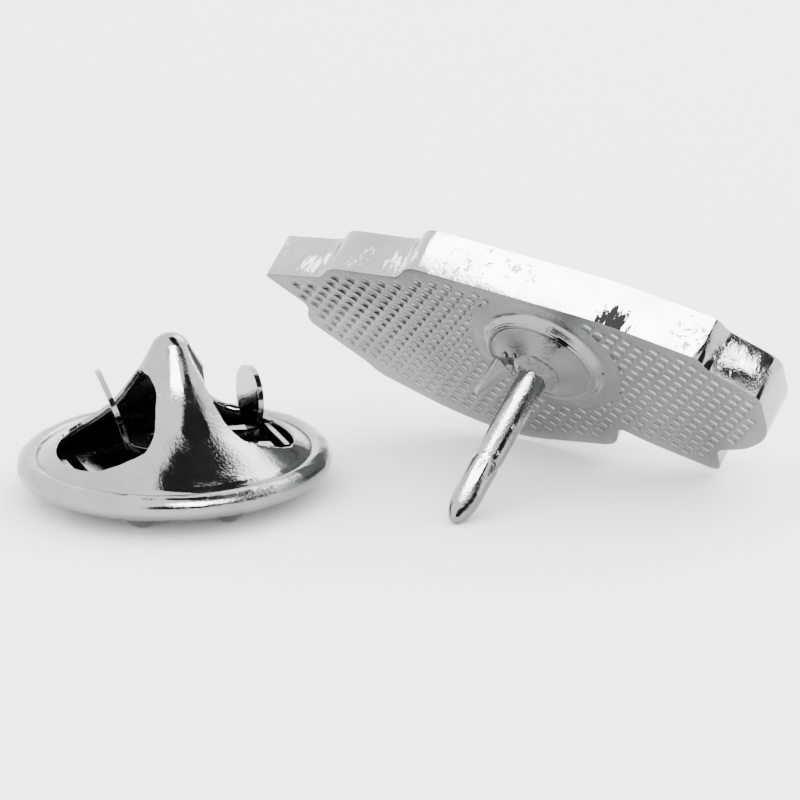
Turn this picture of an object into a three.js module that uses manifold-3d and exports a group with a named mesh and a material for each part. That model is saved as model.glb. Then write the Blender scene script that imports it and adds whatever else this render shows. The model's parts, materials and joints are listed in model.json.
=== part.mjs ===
// A tie tack lying on a table beside its butterfly clutch. Millimetres, +Z up, table at z = 0.
//
// The tack is a cast plaque with a nail post soldered to its back. It leans on the post's tip and on
// the plaque's lower edge. The clutch stands on the feet of its base plate: a bell-shaped cap, a base
// plate rolled over the cap's flange, and a spring strip whose two leaves cross round the post hole.
import * as THREE from "three";
import { mergeVertices } from "three/addons/utils/BufferGeometryUtils.js";
import Module from "manifold-3d";

const wasm = await Module();
wasm.setup();

// ---- Driving dimensions ------------------------------------------------------------------------

// Plaque, in its own frame: +Z is the way the post points, +X runs along the plaque.
const PLAQUE_LEFT = 11.5; // post axis to the pointed end
const PLAQUE_RIGHT = 8.8; // post axis to the round end
const PLAQUE_UP = 3.3; // post axis to the long upper edge
const PLAQUE_DOWN = 6.0; // post axis to the deepest part of the lower edge
const PLAQUE_THICK = 1.85;
const FRONT_BORDER = 0.7; // width of the raised rim round the front face
const FRONT_RECESS = 0.3; // depth of the field inside that rim

// Nail post and its pad.
const POST_R = 0.535;
const POST_LENGTH = 7.8; // plaque's back to the end of the tip
const POST_TIP_R = 0.3;
const POST_TAPER = 1.3; // length of the bullet-shaped end
const POST_GROOVE_AT = 2.75; // end of the tip to the middle of the groove
const POST_GROOVE_WIDTH = 0.34;
const POST_GROOVE_DEPTH = 0.05;
const POST_HEAD_R = 0.85;
const POST_HEAD_THICK = 0.1;
const PAD_R = 2.155;
const PAD_SHEET = 0.27;
const PAD_RIM_TOP = 0.44; // plaque's back to the top of the pad's raised edge
const PAD_DOME_TOP = 0.96; // plaque's back to the pad's surface at the post
const PAD_RIM_WIDTH = 0.26;
const SPUR_AT = 213; // degrees round the pad from +X
const SPUR_INSET = 0.235; // pad's edge in to the fold of the spur
const SPUR_BASE = 0.95;
const SPUR_LENGTH = 1.5;
const SPUR_ROOT = 0.05; // how far the spur runs back into the pad
const SPUR_LEAN = 30; // degrees off the post's direction, away from the post
const SOLDER_REACH = 0.845; // how far the solder spreads beyond the pad
const SOLDER_THICK = 0.1;
const ROOT_SOLDER_REACH = 0.36; // how far the fillet spreads over the pad from the post
const ROOT_SOLDER_HEIGHT = 0.24;

// Clutch cap.
const CAP_HEIGHT = 5.95; // table to the top of the nose
const CAP_NOSE_R = 0.76;
const CAP_FLANK = 27.5; // degrees between the flank and the axis
const CAP_SKIRT_R = 8.5; // concave sweep from the flank to the shoulder
const CAP_SHOULDER_SLOPE = 25.5; // degrees below level
const CAP_SHEET = 0.26;
const WINDOW_BELOW_TOP = 1.23; // top of the nose down to the top of each window
const WINDOW_WIDEST = 2.78; // half the width of a window at its widest
const WINDOW_WIDEST_Z = 2.1; // table to its widest place
const WINDOW_FOOT = 2.5; // half its width where it meets the shoulder
const WINDOW_REACH = 4.35; // axis to the outer edge of each window
const WINDOW_SHIFT = -0.18; // both windows are punched off centre, to one side

// Clutch base plate.
const CLUTCH_R = 5.7;
const BASE_SHEET = 0.2;
const BASE_UNDERSIDE = 0.66; // table to the plate, which is also how deep the feet are
const ROLL_R = 0.46; // outside radius of the rolled edge
const FOOT_R = 0.68;
const FOOT_COUNT = 8;
const FOOT_CIRCLE = 4.1;
const FOOT_TURN = -106; // degrees from +X to the first foot
const BASE_HOLE_R = 0.72;
const FUNNEL_R = 1.2; // radius at the bottom of the funnel round the hole
const FUNNEL_HEIGHT = 0.2;

// Clutch spring.
const SPRING_SHEET = 0.2;
const SPRING_WIDTH = 2.6;
const SPRING_REACH = 3.98; // axis to the outside of each upturned end of the base strip
const LEAF_TRAVEL = 0.32; // how far a squeezed leaf slides
const GRIP_HOLE_R = 0.64;
const LOW_LEAF_RISE = 0.38; // base plate's upper face to the middle of the lower leaf
const HIGH_LEAF_RISE = 0.68; // the same for the upper leaf at its outer end
const HIGH_LEAF_SLOPE = 5.5; // degrees
const LEFT_NECK = 1.72; // axis to the foot of the left wing
const RIGHT_NECK = 3.0; // axis to the foot of the right wing
const LEFT_WING_LEAN = 19; // degrees outward
const RIGHT_WING_LEAN = 1;
const LEFT_WING_TWIST = -6.5; // degrees about the wing's own upright line
const RIGHT_WING_TWIST = 0.5;
const RIGHT_WING_TILT = 12; // degrees in the wing's own plane, front edge up
const WING_LENGTH = 3.0;
const WING_WIDTH = 2.8;
const WING_WIDEST = 1.9; // foot of the wing to its widest place
const NECK_WIDTH = 0.9;
const NECK_LENGTH = 0.62; // foot of the wing to where it begins to widen
const NECK_SLOT_SIDE = 0.3; // room on each side of the neck in the slot of the upper leaf

// How the two halves lie.
const CLUTCH_TURN = 17.5; // degrees about the vertical
const TACK_TURN = -24.4; // degrees from +X to the plaque's length, seen from above
const TIP_FROM_CLUTCH = [10.1, -4.5]; // clutch axis to the point that the tip touches, on the table

// Clearances.
const GAP = 0.03; // between touching pieces
const RUN_GAP = 0.08; // round a piece that slides

// Places that follow from the dimensions above.
const SPUR_CHORD = PAD_R - SPUR_INSET;
const SOLDER_R = PAD_R + SOLDER_REACH;
const WINDOW_TOP = CAP_HEIGHT - WINDOW_BELOW_TOP;

// ---- Helpers -----------------------------------------------------------------------------------

const rad = THREE.MathUtils.degToRad;

function solidOf(geometry) {
  const bare = geometry.index ? geometry.toNonIndexed() : geometry.clone();
  bare.deleteAttribute("normal");
  bare.deleteAttribute("uv");
  const merged = mergeVertices(bare, 1e-5);
  return new wasm.Manifold(
    new wasm.Mesh({
      numProp: 3,
      vertProperties: merged.attributes.position.array,
      triVerts: new Uint32Array(merged.index.array),
    }),
  );
}

function geometryOf(solid) {
  const mesh = solid.getMesh();
  const geometry = new THREE.BufferGeometry();
  geometry.setAttribute("position", new THREE.BufferAttribute(mesh.vertProperties, 3));
  geometry.setIndex(new THREE.BufferAttribute(mesh.triVerts, 1));
  geometry.computeVertexNormals();
  return geometry;
}

// A body of revolution about Z. The profile is a list of [radius, height], from the bottom of the
// axis round the outside to its top, or a closed ring that runs up its outer side.
function turned(profile, segments) {
  const points = profile.map(([r, z]) => new THREE.Vector2(r, z));
  return new THREE.LatheGeometry(points, segments).rotateX(Math.PI / 2);
}

// A shape drawn in XY, drawn up along Z from `from` to `to`.
function prism(shape, from, to, curveSegments = 10) {
  const options = { depth: to - from, bevelEnabled: false, curveSegments };
  return new THREE.ExtrudeGeometry(shape, options).translate(0, 0, from);
}

// A shape drawn in XZ, drawn out along Y by half the width each way.
function sidePrism(shape, width, curveSegments = 8) {
  return prism(shape, -width / 2, width / 2, curveSegments).rotateX(Math.PI / 2);
}

// A closed outline whose corners are [x, y, radius].
function roundedShape(corners) {
  const shape = new THREE.Shape();
  corners.forEach(([x, y, radius], i) => {
    const here = new THREE.Vector2(x, y);
    const before = new THREE.Vector2(...corners.at(i - 1).slice(0, 2)).sub(here);
    const after = new THREE.Vector2(...corners[(i + 1) % corners.length].slice(0, 2)).sub(here);
    const cut = Math.min(radius, before.length() / 2.1, after.length() / 2.1);
    const start = before.setLength(cut).add(here);
    const end = after.setLength(cut).add(here);
    if (i === 0) shape.moveTo(start.x, start.y);
    else shape.lineTo(start.x, start.y);
    shape.quadraticCurveTo(x, y, end.x, end.y);
  });
  shape.closePath();
  return shape;
}

function discShape(radius, x = 0, y = 0) {
  return new THREE.Shape().absarc(x, y, radius, 0, 2 * Math.PI, false);
}

function boxShape(x0, x1, y0, y1) {
  return new THREE.Shape([
    new THREE.Vector2(x0, y0),
    new THREE.Vector2(x1, y0),
    new THREE.Vector2(x1, y1),
    new THREE.Vector2(x0, y1),
  ]);
}

function part(name, solid, material) {
  const mesh = new THREE.Mesh(geometryOf(solid), material);
  mesh.name = name;
  return mesh;
}

// ---- Materials ---------------------------------------------------------------------------------

function metal(color, roughness) {
  return new THREE.MeshStandardMaterial({ color, roughness, metalness: 1 });
}
const brightPlate = metal(0xd9dadc, 0.12);
const castPlate = metal(0xc4c5c8, 0.3);
const solderMetal = metal(0xb9babd, 0.38);
const springMetal = metal(0xcfd0d2, 0.18);

// ---- Plaque ------------------------------------------------------------------------------------

// The outline steps in at each end like stacked blocks, and is widest left of the post.
function plaqueCorners() {
  const left = -PLAQUE_LEFT;
  const right = PLAQUE_RIGHT;
  const up = PLAQUE_UP;
  const down = -PLAQUE_DOWN;
  return [
    [left, down + 5.2, 0.35],
    [left + 1.75, down + 4.05, 0.3],
    [left + 1.6, down + 3.1, 0.4],
    [left + 3.9, down + 1.6, 0.3],
    [left + 4.3, down + 1.15, 0.4],
    [left + 7.2, down + 0.2, 1.6],
    [left + 9.9, down, 1.2],
    [right - 6.3, down + 1.6, 0.8],
    [right - 6.15, down + 2.8, 0.3],
    [right - 5.0, down + 2.5, 0.6],
    [right - 2.1, down + 2.15, 0.5],
    [right - 2.2, down + 3.5, 0.3],
    [right - 0.95, down + 4.2, 0.6],
    [right, down + 5.45, 1.2],
    [right - 0.2, up - 1.6, 1.0],
    [right - 0.75, up - 1.35, 0.7],
    [right - 2.25, up - 0.8, 0.25],
    [right - 2.55, up - 0.3, 0.35],
    [right - 6.5, up, 1.6],
    [left + 6.25, up - 0.55, 0.4],
    [left + 5.75, up - 1.45, 0.3],
    [left + 2.9, up - 2.3, 0.4],
    [left + 2.5, up - 3.1, 0.35],
  ];
}

// The corners moved in by `inset`, each along the two edges that meet there.
function insetCorners(corners, inset) {
  const count = corners.length;
  return corners.map(([x, y, radius], i) => {
    const here = new THREE.Vector2(x, y);
    const previous = new THREE.Vector2(...corners[(i + count - 1) % count].slice(0, 2));
    const next = new THREE.Vector2(...corners[(i + 1) % count].slice(0, 2));
    const inEdge = here.clone().sub(previous).normalize();
    const outEdge = next.clone().sub(here).normalize();
    const sum = new THREE.Vector2(-inEdge.y - outEdge.y, inEdge.x + outEdge.x);
    const moved = sum.multiplyScalar((2 * inset) / sum.lengthSq()).add(here);
    return [moved.x, moved.y, radius];
  });
}

function makePlaque() {
  const corners = plaqueCorners();
  const body = solidOf(prism(roundedShape(corners), -PLAQUE_THICK, 0, 4));
  const field = prism(
    roundedShape(insetCorners(corners, FRONT_BORDER)),
    -PLAQUE_THICK - 1,
    FRONT_RECESS - PLAQUE_THICK,
    4,
  );
  return part("plaque", body.subtract(solidOf(field)), castPlate);
}

// ---- Post, pad and solder ----------------------------------------------------------------------

// Height of the pad's upper face at radius r, between the post and the pad's raised edge.
function padTop(r) {
  const inner = POST_R + GAP;
  const outer = PAD_R - PAD_RIM_WIDTH;
  const along = (r - inner) / (outer - inner);
  return PAD_DOME_TOP + (PAD_RIM_TOP - 0.07 - PAD_DOME_TOP) * along;
}

function padUnderside(r) {
  return padTop(r) - PAD_SHEET;
}

function makeSolderBed() {
  const top = GAP + SOLDER_THICK;
  const underHead = padUnderside(POST_HEAD_R) - POST_HEAD_THICK - 3 * GAP;
  const domeEdge = PAD_R - PAD_RIM_WIDTH;
  const profile = [
    [0, GAP],
    [SOLDER_R, GAP],
    [SOLDER_R - 0.12, GAP + SOLDER_THICK * 0.7],
    [PAD_R + 0.1, top],
    [domeEdge, top],
    [POST_HEAD_R + 0.2, Math.max(top, underHead)],
    [0, Math.max(top, underHead)],
  ];
  return part("solder_bed", solidOf(turned(profile, 48)), solderMetal);
}

function makePad() {
  const hole = POST_R + GAP;
  const rim = PAD_R - PAD_RIM_WIDTH;
  const foot = 2 * GAP + SOLDER_THICK;
  const profile = [
    [rim, Math.max(foot, padUnderside(rim))],
    [rim + 0.05, foot],
    [PAD_R - 0.02, foot],
    [PAD_R, foot + 0.03],
    [PAD_R, PAD_RIM_TOP - 0.08],
    [PAD_R - 0.03, PAD_RIM_TOP - 0.02],
    [PAD_R - 0.1, PAD_RIM_TOP],
    [rim + 0.06, PAD_RIM_TOP - 0.03],
    [rim, padTop(rim)],
    [(rim + hole) / 2, padTop((rim + hole) / 2) - 0.04],
    [hole + 0.12, padTop(hole + 0.12)],
    [hole, PAD_DOME_TOP],
    [hole, PAD_DOME_TOP - PAD_SHEET],
    [(rim + hole) / 2, padUnderside((rim + hole) / 2)],
    [rim, Math.max(foot, padUnderside(rim))],
  ];
  const disc = solidOf(turned(profile, 64));
  const beyondFold = prism(boxShape(SPUR_CHORD, PAD_R + 1, -PAD_R, PAD_R), -1, PAD_RIM_TOP + 1);
  return disc.subtract(solidOf(beyondFold)).add(makeSpur());
}

// A pointed lug folded up from the pad's edge, so that the tack can't turn in the cloth. It is drawn
// flat, root at the fold, and then stood up.
function makeSpur() {
  const lug = new THREE.Shape();
  lug.moveTo(0, -SPUR_BASE / 2);
  lug.lineTo(SPUR_LENGTH - 0.08, -0.05);
  lug.quadraticCurveTo(SPUR_LENGTH, 0, SPUR_LENGTH - 0.08, 0.05);
  lug.lineTo(0, SPUR_BASE / 2);
  lug.lineTo(-SPUR_ROOT, SPUR_BASE / 2);
  lug.lineTo(-SPUR_ROOT, -SPUR_BASE / 2);
  const sheet = prism(lug, -PAD_SHEET / 2, PAD_SHEET / 2, 4);
  sheet.rotateY(-rad(90 - SPUR_LEAN));
  sheet.translate(SPUR_CHORD - 0.05, 0, padTop(SPUR_CHORD) - 0.06);
  return solidOf(sheet);
}

function makePost() {
  const headTop = padUnderside(POST_HEAD_R) - GAP;
  const headFoot = headTop - POST_HEAD_THICK;
  const taperFrom = POST_LENGTH - POST_TAPER;
  const groove = POST_LENGTH - POST_GROOVE_AT;
  const half = POST_GROOVE_WIDTH / 2;
  const tipCentre = POST_LENGTH - POST_TIP_R;
  const profile = [
    [0, headFoot],
    [POST_HEAD_R, headFoot],
    [POST_HEAD_R, headTop],
    [POST_R, Math.min(headTop + 0.1, padUnderside(POST_R) - GAP)],
    [POST_R, groove - half],
    [POST_R - POST_GROOVE_DEPTH, groove - half * 0.4],
    [POST_R - POST_GROOVE_DEPTH, groove + half * 0.4],
    [POST_R, groove + half],
    [POST_R, taperFrom],
  ];
  const taper = new THREE.QuadraticBezierCurve(
    new THREE.Vector2(POST_R, taperFrom),
    new THREE.Vector2(POST_R * 0.98, taperFrom + 0.55 * POST_TAPER),
    new THREE.Vector2(POST_TIP_R * Math.cos(rad(18)), tipCentre + POST_TIP_R * Math.sin(rad(18))),
  );
  profile.push(...taper.getPoints(5).slice(1).map((p) => [p.x, p.y]));
  for (let angle = 36; angle < 90; angle += 18) {
    profile.push([POST_TIP_R * Math.cos(rad(angle)), tipCentre + POST_TIP_R * Math.sin(rad(angle))]);
  }
  profile.push([0, POST_LENGTH]);
  return part("nail_post", solidOf(turned(profile, 32)), brightPlate);
}

// The fillet of solder that climbs from the pad to the post.
function makeRootSolder() {
  const inner = POST_R + GAP;
  const outer = inner + ROOT_SOLDER_REACH;
  const profile = [
    [inner + 0.12, padTop(inner + 0.12) + GAP],
    [outer, padTop(outer) + GAP],
    [outer, padTop(outer) + GAP + 0.06],
    [inner + ROOT_SOLDER_REACH * 0.4, PAD_DOME_TOP + ROOT_SOLDER_HEIGHT * 0.35],
    [inner, PAD_DOME_TOP + ROOT_SOLDER_HEIGHT],
    [inner, PAD_DOME_TOP + GAP],
    [inner + 0.12, padTop(inner + 0.12) + GAP],
  ];
  return part("root_solder", solidOf(turned(profile, 32)), solderMetal);
}

function makeTack() {
  const tack = new THREE.Group();
  const pad = part("post_pad", makePad(), brightPlate);
  pad.rotation.z = rad(SPUR_AT);
  tack.add(makePlaque(), makeSolderBed(), pad, makePost(), makeRootSolder());
  return tack;
}

// ---- How the tack rests ------------------------------------------------------------------------

// The tack lies on three points: the round tip of the post and two corners of the plaque's back
// edge. Of all pairs of corners, the pair it lies on is the one that leaves no other corner below
// the table while the tack's middle is above it.
function restingTurn() {
  const tip = new THREE.Vector3(0, 0, POST_LENGTH - POST_TIP_R);
  const corners = plaqueCorners().map(([x, y]) => new THREE.Vector3(x, y, 0));
  const middle = new THREE.Vector3(0, 0, -PLAQUE_THICK / 2);
  let best = null;
  corners.forEach((a, i) => {
    corners.slice(i + 1).forEach((b) => {
      const edge = b.clone().sub(a).normalize();
      const toTip = tip.clone().sub(a);
      toTip.addScaledVector(edge, -toTip.dot(edge));
      const reach = toTip.length();
      const across = toTip.divideScalar(reach);
      for (const side of [1, -1]) {
        const flat = new THREE.Vector3().crossVectors(edge, across).multiplyScalar(side);
        const sine = POST_TIP_R / reach;
        const up = flat.multiplyScalar(Math.sqrt(1 - sine * sine)).addScaledVector(across, sine);
        const lowest = Math.min(...corners.map((c) => c.clone().sub(a).dot(up)));
        const above = middle.clone().sub(a).dot(up);
        const stands = lowest > -1e-6 && above > 0 && up.y > 0;
        if (stands && (!best || above < best.above)) {
          best = { up, above, ground: a };
        }
      }
    });
  });
  const along = new THREE.Vector3(1, 0, 0).addScaledVector(best.up, -best.up.x).normalize();
  const across = new THREE.Vector3().crossVectors(best.up, along);
  const turn = new THREE.Matrix4().makeBasis(along, across, best.up).transpose();
  return { turn, tip, ground: best.ground };
}

function placeTack(tack) {
  const { turn, tip, ground } = restingTurn();
  const onTable = new THREE.Matrix4().makeRotationZ(rad(TACK_TURN)).multiply(turn);
  const tipPlace = tip.clone().applyMatrix4(onTable);
  const floor = ground.clone().applyMatrix4(onTable).z;
  const shift = new THREE.Matrix4().makeTranslation(
    TIP_FROM_CLUTCH[0] - tipPlace.x,
    TIP_FROM_CLUTCH[1] - tipPlace.y,
    -floor,
  );
  tack.applyMatrix4(shift.multiply(onTable));
}

// ---- Clutch cap --------------------------------------------------------------------------------

const ROLL_CENTRE_R = CLUTCH_R - ROLL_R;
const ROLL_CENTRE_Z = BASE_UNDERSIDE + ROLL_R;
const ROLL_INNER = ROLL_R - BASE_SHEET;
const FLANGE_R = ROLL_CENTRE_R + 0.3 * ROLL_INNER; // the flange ends inside the rolled edge
const SHOULDER_Z = ROLL_CENTRE_Z + ROLL_INNER - 2 * GAP; // cap's upper face at the end of its flange

// One face of the cap's wall, `inward` from its outside, from the flange in to the axis: the
// shoulder, the concave skirt, the straight flank and the round nose.
function capFace(inward) {
  const flank = rad(CAP_FLANK);
  const slope = rad(CAP_SHOULDER_SLOPE);
  const flankOut = [Math.cos(flank), Math.sin(flank)];
  const shoulderOut = [Math.sin(slope), Math.cos(slope)];
  const noseZ = CAP_HEIGHT - CAP_NOSE_R;
  const flankAt = flankOut[1] * noseZ + CAP_NOSE_R + CAP_SKIRT_R;
  const shoulderAt = shoulderOut[0] * FLANGE_R + shoulderOut[1] * SHOULDER_Z + CAP_SKIRT_R;
  const det = flankOut[0] * shoulderOut[1] - flankOut[1] * shoulderOut[0];
  const skirt = [
    (flankAt * shoulderOut[1] - flankOut[1] * shoulderAt) / det,
    (flankOut[0] * shoulderAt - shoulderOut[0] * flankAt) / det,
  ];
  const skirtR = CAP_SKIRT_R + inward;
  const noseR = CAP_NOSE_R - inward;
  const face = [[FLANGE_R - inward * shoulderOut[0], SHOULDER_Z - inward * shoulderOut[1]]];
  const steps = 9;
  for (let i = 0; i <= steps; i++) {
    const angle = Math.PI + Math.PI / 2 - slope - (i / steps) * (Math.PI / 2 - slope - flank);
    face.push([skirt[0] + skirtR * Math.cos(angle), skirt[1] + skirtR * Math.sin(angle)]);
  }
  for (let i = 0; i < steps; i++) {
    const angle = flank + (i / steps) * (Math.PI / 2 - flank);
    face.push([noseR * Math.cos(angle), noseZ + noseR * Math.sin(angle)]);
  }
  face.push([0, noseZ + noseR]);
  return face;
}

// The two side windows are one teardrop-shaped tunnel through the bell. Its walls draw in again
// below their widest place, and its ends are cut to a rounded outline seen from above.
function windowTunnel() {
  const top = WINDOW_TOP;
  const wide = WINDOW_WIDEST;
  const drop = top - WINDOW_WIDEST_Z;
  const side = [
    [WINDOW_FOOT, 0],
    [WINDOW_FOOT, 0.76 * WINDOW_WIDEST_Z],
    [0.93 * wide, 0.88 * WINDOW_WIDEST_Z],
    [wide, WINDOW_WIDEST_Z],
    [0.81 * wide, top - 0.73 * drop],
    [0.52 * wide, top - 0.42 * drop],
    [0.35 * wide, top - 0.17 * drop],
    [0.18 * wide, top - 0.04 * drop],
  ];
  const mirrored = side.map(([y, z]) => [-y, z]).reverse();
  const outline = [...side, [0, top], ...mirrored];
  const arch = new THREE.Shape(outline.map(([y, z]) => new THREE.Vector2(y, z)));
  const tunnel = prism(arch, -CLUTCH_R, CLUTCH_R, 8);
  tunnel.rotateX(Math.PI / 2);
  tunnel.rotateZ(Math.PI / 2);
  const reach = WINDOW_REACH;
  const front = -WINDOW_FOOT;
  const rear = wide;
  const plan = roundedShape([
    [-reach, 0.4 * front, 0.5],
    [-0.77 * reach, front, 0.5],
    [0.77 * reach, front, 0.5],
    [reach, 0.4 * front, 0.5],
    [reach, 0.35 * rear, 0.9],
    [0.77 * reach, rear, 0.9],
    [-0.77 * reach, rear, 0.9],
    [-reach, 0.35 * rear, 0.9],
  ]);
  const cutter = solidOf(tunnel).intersect(solidOf(prism(plan, -1, CAP_HEIGHT + 1, 6)));
  return cutter.translate(0, WINDOW_SHIFT, 0);
}

function makeCap() {
  const outside = capFace(0);
  const inside = capFace(CAP_SHEET).reverse();
  const bell = solidOf(turned([...inside, ...outside], 56));
  return part("clutch_cap", bell.subtract(windowTunnel()), brightPlate);
}

// ---- Clutch base plate -------------------------------------------------------------------------

const BASE_TOP = BASE_UNDERSIDE + BASE_SHEET;

function makeBasePlate() {
  const profile = [
    [BASE_HOLE_R, BASE_UNDERSIDE + FUNNEL_HEIGHT],
    [FUNNEL_R, BASE_UNDERSIDE],
    [ROLL_CENTRE_R, BASE_UNDERSIDE],
  ];
  const steps = 6;
  for (let i = 1; i <= steps; i++) {
    const angle = -Math.PI / 2 + (i / steps) * Math.PI;
    profile.push([
      ROLL_CENTRE_R + ROLL_R * Math.cos(angle),
      ROLL_CENTRE_Z + ROLL_R * Math.sin(angle),
    ]);
  }
  for (let i = steps; i >= 0; i--) {
    const angle = -Math.PI / 2 + (i / steps) * Math.PI;
    profile.push([
      ROLL_CENTRE_R + ROLL_INNER * Math.cos(angle),
      ROLL_CENTRE_Z + ROLL_INNER * Math.sin(angle),
    ]);
  }
  profile.push([FUNNEL_R, BASE_TOP]);
  profile.push([BASE_HOLE_R, BASE_TOP + FUNNEL_HEIGHT]);
  profile.push(profile[0]);
  let plate = solidOf(turned(profile, 56));
  const belowTop = solidOf(prism(discShape(CLUTCH_R), -1, BASE_TOP - GAP));
  for (let i = 0; i < FOOT_COUNT; i++) {
    const angle = rad(FOOT_TURN - CLUTCH_TURN) + (i / FOOT_COUNT) * 2 * Math.PI;
    const x = FOOT_CIRCLE * Math.cos(angle);
    const y = FOOT_CIRCLE * Math.sin(angle);
    plate = plate.add(footBall(FOOT_R, x, y).intersect(belowTop));
    plate = plate.subtract(footBall(FOOT_R - BASE_SHEET, x, y));
  }
  return part("clutch_base_plate", plate, brightPlate);
}

// The feet are dimples pressed down through the plate: a ball that touches the table, and a smaller
// ball round the same centre that hollows it.
function footBall(radius, x, y) {
  const ball = new THREE.SphereGeometry(radius, 12, 8).rotateX(Math.PI / 2);
  return solidOf(ball.translate(x, y, FOOT_R));
}

// ---- Clutch spring -----------------------------------------------------------------------------

const STRIP_Z = BASE_TOP + GAP + SPRING_SHEET / 2; // middle of the strip that lies on the base
const LOW_LEAF_Z = BASE_TOP + LOW_LEAF_RISE;
const HIGH_LEAF_Z = BASE_TOP + HIGH_LEAF_RISE;
const LEAF_END = SPRING_REACH - SPRING_SHEET - LEAF_TRAVEL - RUN_GAP; // axis to a leaf's outer end

// Everything on the spring stays inside this drum, clear of the cap's shoulder.
function springRoom() {
  return solidOf(prism(discShape(WINDOW_REACH - 2 * GAP), -1, CAP_HEIGHT, 32));
}

// A strip of constant thickness along a path in XZ, seen from the side.
function stripShape(points) {
  const half = SPRING_SHEET / 2;
  const sides = [[], []];
  points.forEach(([x, z], i) => {
    const [px, pz] = points[Math.max(i - 1, 0)];
    const [nx, nz] = points[Math.min(i + 1, points.length - 1)];
    const along = new THREE.Vector2(nx - px, nz - pz).normalize();
    sides[0].push(new THREE.Vector2(x + along.y * half, z - along.x * half));
    sides[1].unshift(new THREE.Vector2(x - along.y * half, z + along.x * half));
  });
  return new THREE.Shape([...sides[0], ...sides[1]]);
}

// The upturned end of the base strip, as high as the top of the leaf that works beside it.
function upturnPoints(side, leafZ) {
  const radius = SPRING_SHEET;
  const outside = SPRING_REACH - SPRING_SHEET / 2;
  const points = [];
  const steps = 4;
  for (let i = 0; i <= steps; i++) {
    const angle = -Math.PI / 2 + (i / steps) * (Math.PI / 2);
    const x = outside - radius + radius * Math.cos(angle);
    points.push([side * x, STRIP_Z + radius + radius * Math.sin(angle)]);
  }
  points.push([side * outside, Math.max(leafZ + SPRING_SHEET / 2, STRIP_Z + radius + GAP)]);
  return points;
}

function makeBaseStrip() {
  const right = upturnPoints(1, HIGH_LEAF_Z);
  const left = upturnPoints(-1, LOW_LEAF_Z).reverse();
  const strip = solidOf(sidePrism(stripShape([...left, ...right]), SPRING_WIDTH));
  const hole = solidOf(prism(discShape(FUNNEL_R + RUN_GAP), 0, CAP_HEIGHT, 16));
  return part("spring_base_strip", strip.subtract(hole).intersect(springRoom()), springMetal);
}

// The wing is a petal, drawn flat in XY with its foot at the origin and its tip along +Y.
function wingShape() {
  const neck = NECK_WIDTH / 2;
  const half = WING_WIDTH / 2;
  const shape = new THREE.Shape();
  shape.moveTo(-neck, 0);
  shape.lineTo(neck, 0);
  shape.lineTo(neck, NECK_LENGTH);
  const flare = NECK_LENGTH + 0.35;
  shape.bezierCurveTo(neck + 0.35, flare, half, flare + 0.2, half, WING_WIDEST);
  shape.bezierCurveTo(half, WING_LENGTH - 0.4, half * 0.55, WING_LENGTH, 0, WING_LENGTH);
  shape.bezierCurveTo(-half * 0.55, WING_LENGTH, -half, WING_LENGTH - 0.4, -half, WING_WIDEST);
  shape.bezierCurveTo(-half, flare + 0.2, -neck - 0.35, flare, -neck, NECK_LENGTH);
  return shape;
}

// The wing stood up at its neck, leaning away from the axis. `side` is -1 for the left wing.
function standingWing(side, neckX, footZ, lean, twist, tilt = 0) {
  const sheet = prism(wingShape(), -SPRING_SHEET / 2, SPRING_SHEET / 2, 8);
  sheet.rotateZ(-rad(tilt));
  sheet.rotateX(Math.PI / 2);
  sheet.rotateZ(Math.PI / 2);
  sheet.rotateY(side * rad(lean));
  sheet.rotateZ(rad(twist));
  const lift = (NECK_WIDTH / 2) * Math.sin(rad(tilt)); // keeps a tilted neck above its leaf's underside
  return solidOf(sheet.translate(side * neckX, 0, footZ + lift));
}

// The upper leaf starts beside the right end of the base strip, passes over the post hole and ends
// in the left wing. Its outer end is forked round the neck of the right wing.
function makeUpperLeaf() {
  const slope = Math.tan(rad(HIGH_LEAF_SLOPE));
  const heightAt = (x) => HIGH_LEAF_Z + (LEAF_END - x) * slope;
  const points = [
    [LEAF_END, heightAt(LEAF_END)],
    [-LEFT_NECK, heightAt(-LEFT_NECK)],
  ];
  const half = SPRING_WIDTH / 2;
  const slotHalf = NECK_WIDTH / 2 + NECK_SLOT_SIDE;
  const neckSide = SPRING_SHEET / 2 + RUN_GAP;
  const slotFrom = RIGHT_NECK - neckSide - 2 * LEAF_TRAVEL;
  const slot = prism(boxShape(slotFrom, SPRING_REACH, -slotHalf, slotHalf), 0, CAP_HEIGHT);
  const hole = prism(discShape(GRIP_HOLE_R, -LEAF_TRAVEL, 0), 0, CAP_HEIGHT, 12);
  const plan = new THREE.Shape();
  plan.moveTo(LEAF_END + 1, -half);
  plan.lineTo(LEAF_END + 1, half);
  plan.lineTo(-LEFT_NECK + 1.0, half);
  plan.quadraticCurveTo(-LEFT_NECK + 0.2, half, -LEFT_NECK - 0.2, NECK_WIDTH / 2);
  plan.lineTo(-LEFT_NECK - 0.2, -NECK_WIDTH / 2);
  plan.quadraticCurveTo(-LEFT_NECK + 0.2, -half, -LEFT_NECK + 1.0, -half);
  const leaf = solidOf(sidePrism(stripShape(points), SPRING_WIDTH))
    .intersect(solidOf(prism(plan, 0, CAP_HEIGHT)))
    .subtract(solidOf(slot))
    .subtract(solidOf(hole));
  const foot = heightAt(-LEFT_NECK) - SPRING_SHEET / 2;
  const wing = standingWing(-1, LEFT_NECK, foot, LEFT_WING_LEAN, LEFT_WING_TWIST);
  return part("left_wing_leaf", leaf.add(wing).intersect(springRoom()), springMetal);
}

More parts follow.
